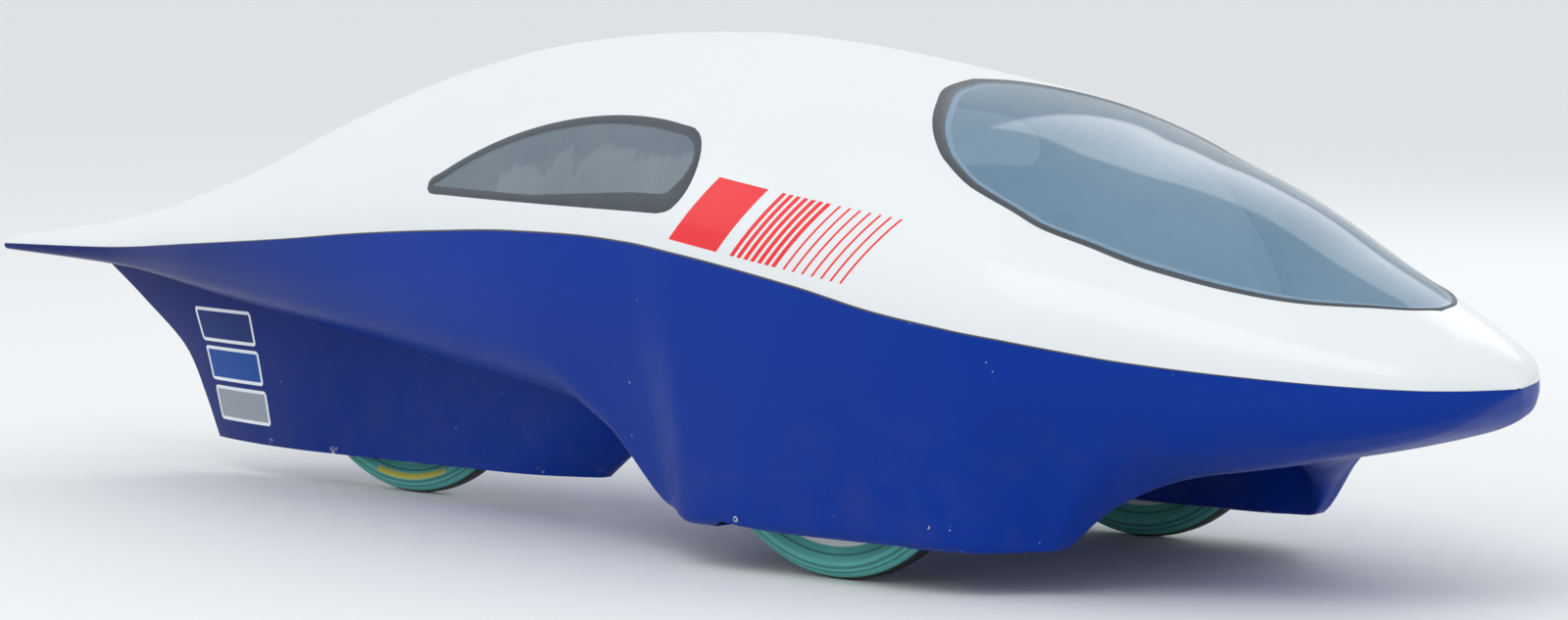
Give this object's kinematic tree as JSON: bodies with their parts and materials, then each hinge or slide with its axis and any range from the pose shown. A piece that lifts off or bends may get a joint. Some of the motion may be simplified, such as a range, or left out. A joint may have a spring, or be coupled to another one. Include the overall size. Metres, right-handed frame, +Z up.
{
  "type": "three-wheeled hydrogen efficiency car",
  "caption": "Low streamlined hydrogen car: lift-off white shell with leaf-shaped windscreen, blue lower shell with wheel legs and rear fin, steered front wheels.",
  "frame": {"origin": "on the ground under the middle of the body's length and width", "axes": "+X towards the nose, +Y to the driver's left, +Z up"},
  "size_m": [2.71, 0.7076, 0.6301],
  "materials": {
    "white_shell": "gloss",
    "blue_shell": "gloss",
    "window": "clear",
    "seal": "matte",
    "tyre": "matte",
    "wheel_disc": "satin",
    "aluminium": "satin",
    "steel": "satin",
    "dark_composite": "satin",
    "pale_composite": "satin",
    "seat_fabric": "matte",
    "grip_rubber": "matte",
    "cell_case": "satin",
    "gas_composite": "gloss"
  },
  "bodies": {
    "chassis": {"lower_shell": "blue_shell", "rear_wheel_fairing": "blue_shell", "front_axle_beam": "aluminium", "wheel_box_left": "pale_composite", "wheel_box_right": "pale_composite", "bulkhead": "dark_composite", "roll_hoop": "steel", "headrest_pad": "seat_fabric", "seat_shell": "dark_composite", "seat_pad": "seat_fabric", "rear_frame_plates": "aluminium", "rear_axle": "steel", "fuel_cell": "cell_case", "drive_motor": "aluminium", "gas_cylinder": "gas_composite", "gas_bands": "steel"},
    "upper": {"upper_shell": "white_shell", "windscreen": "window", "windscreen_seal": "seal", "side_window_left": "window", "side_window_right": "window", "side_window_seal_left": "seal", "side_window_seal_right": "seal"},
    "knuckle_left": {"knuckle_left": "steel"},
    "knuckle_right": {"knuckle_right": "steel"},
    "steering": {"steering_column": "aluminium", "steering_grips": "grip_rubber"},
    "track_rod": {"track_rod": "steel"},
    "wheel_front_left": {"tyre_front_left": "tyre", "wheel_disc_front_left": "wheel_disc", "hub_front_left": "aluminium"},
    "wheel_front_right": {"tyre_front_right": "tyre", "wheel_disc_front_right": "wheel_disc", "hub_front_right": "aluminium"},
    "wheel_rear": {"tyre_rear": "tyre", "wheel_disc_rear": "wheel_disc", "hub_rear": "aluminium"}
  },
  "joints": [
    {"name": "upper_lift", "type": "slide", "parent": "chassis", "child": "upper", "axis": [0, 0, 1], "range_m": [0, 0.6]},
    {"name": "steering_turn", "type": "hinge", "parent": "chassis", "child": "steering", "pos_m": [0.555, 0, 0.25], "axis": [0, 0, 1], "range_deg": [-8, 8]},
    {"name": "kingpin_left", "type": "hinge", "parent": "chassis", "child": "knuckle_left", "pos_m": [0.555, 0.226, 0.239], "axis": [0, 0, 1], "range_deg": [-8, 8]},
    {"name": "kingpin_right", "type": "hinge", "parent": "chassis", "child": "knuckle_right", "pos_m": [0.555, -0.226, 0.239], "axis": [0, 0, 1], "range_deg": [-8, 8]},
    {"name": "track_rod_pin", "type": "hinge", "parent": "steering", "child": "track_rod", "pos_m": [0.495, 0, 0.2224], "axis": [0, 0, 1], "range_deg": [-8, 8]},
    {"name": "wheel_front_left_spin", "type": "hinge", "parent": "knuckle_left", "child": "wheel_front_left", "pos_m": [0.555, 0.273, 0.239], "axis": [0, 1, 0], "continuous": true},
    {"name": "wheel_front_right_spin", "type": "hinge", "parent": "knuckle_right", "child": "wheel_front_right", "pos_m": [0.555, -0.273, 0.239], "axis": [0, 1, 0], "continuous": true},
    {"name": "wheel_rear_spin", "type": "hinge", "parent": "chassis", "child": "wheel_rear", "pos_m": [-0.493, 0, 0.239], "axis": [0, 1, 0], "continuous": true}
  ],
  "couplings": [
    {"joint": "kingpin_left", "follows": "steering_turn", "ratio": 1},
    {"joint": "kingpin_right", "follows": "steering_turn", "ratio": 1},
    {"joint": "track_rod_pin", "follows": "steering_turn", "ratio": -1}
  ]
}
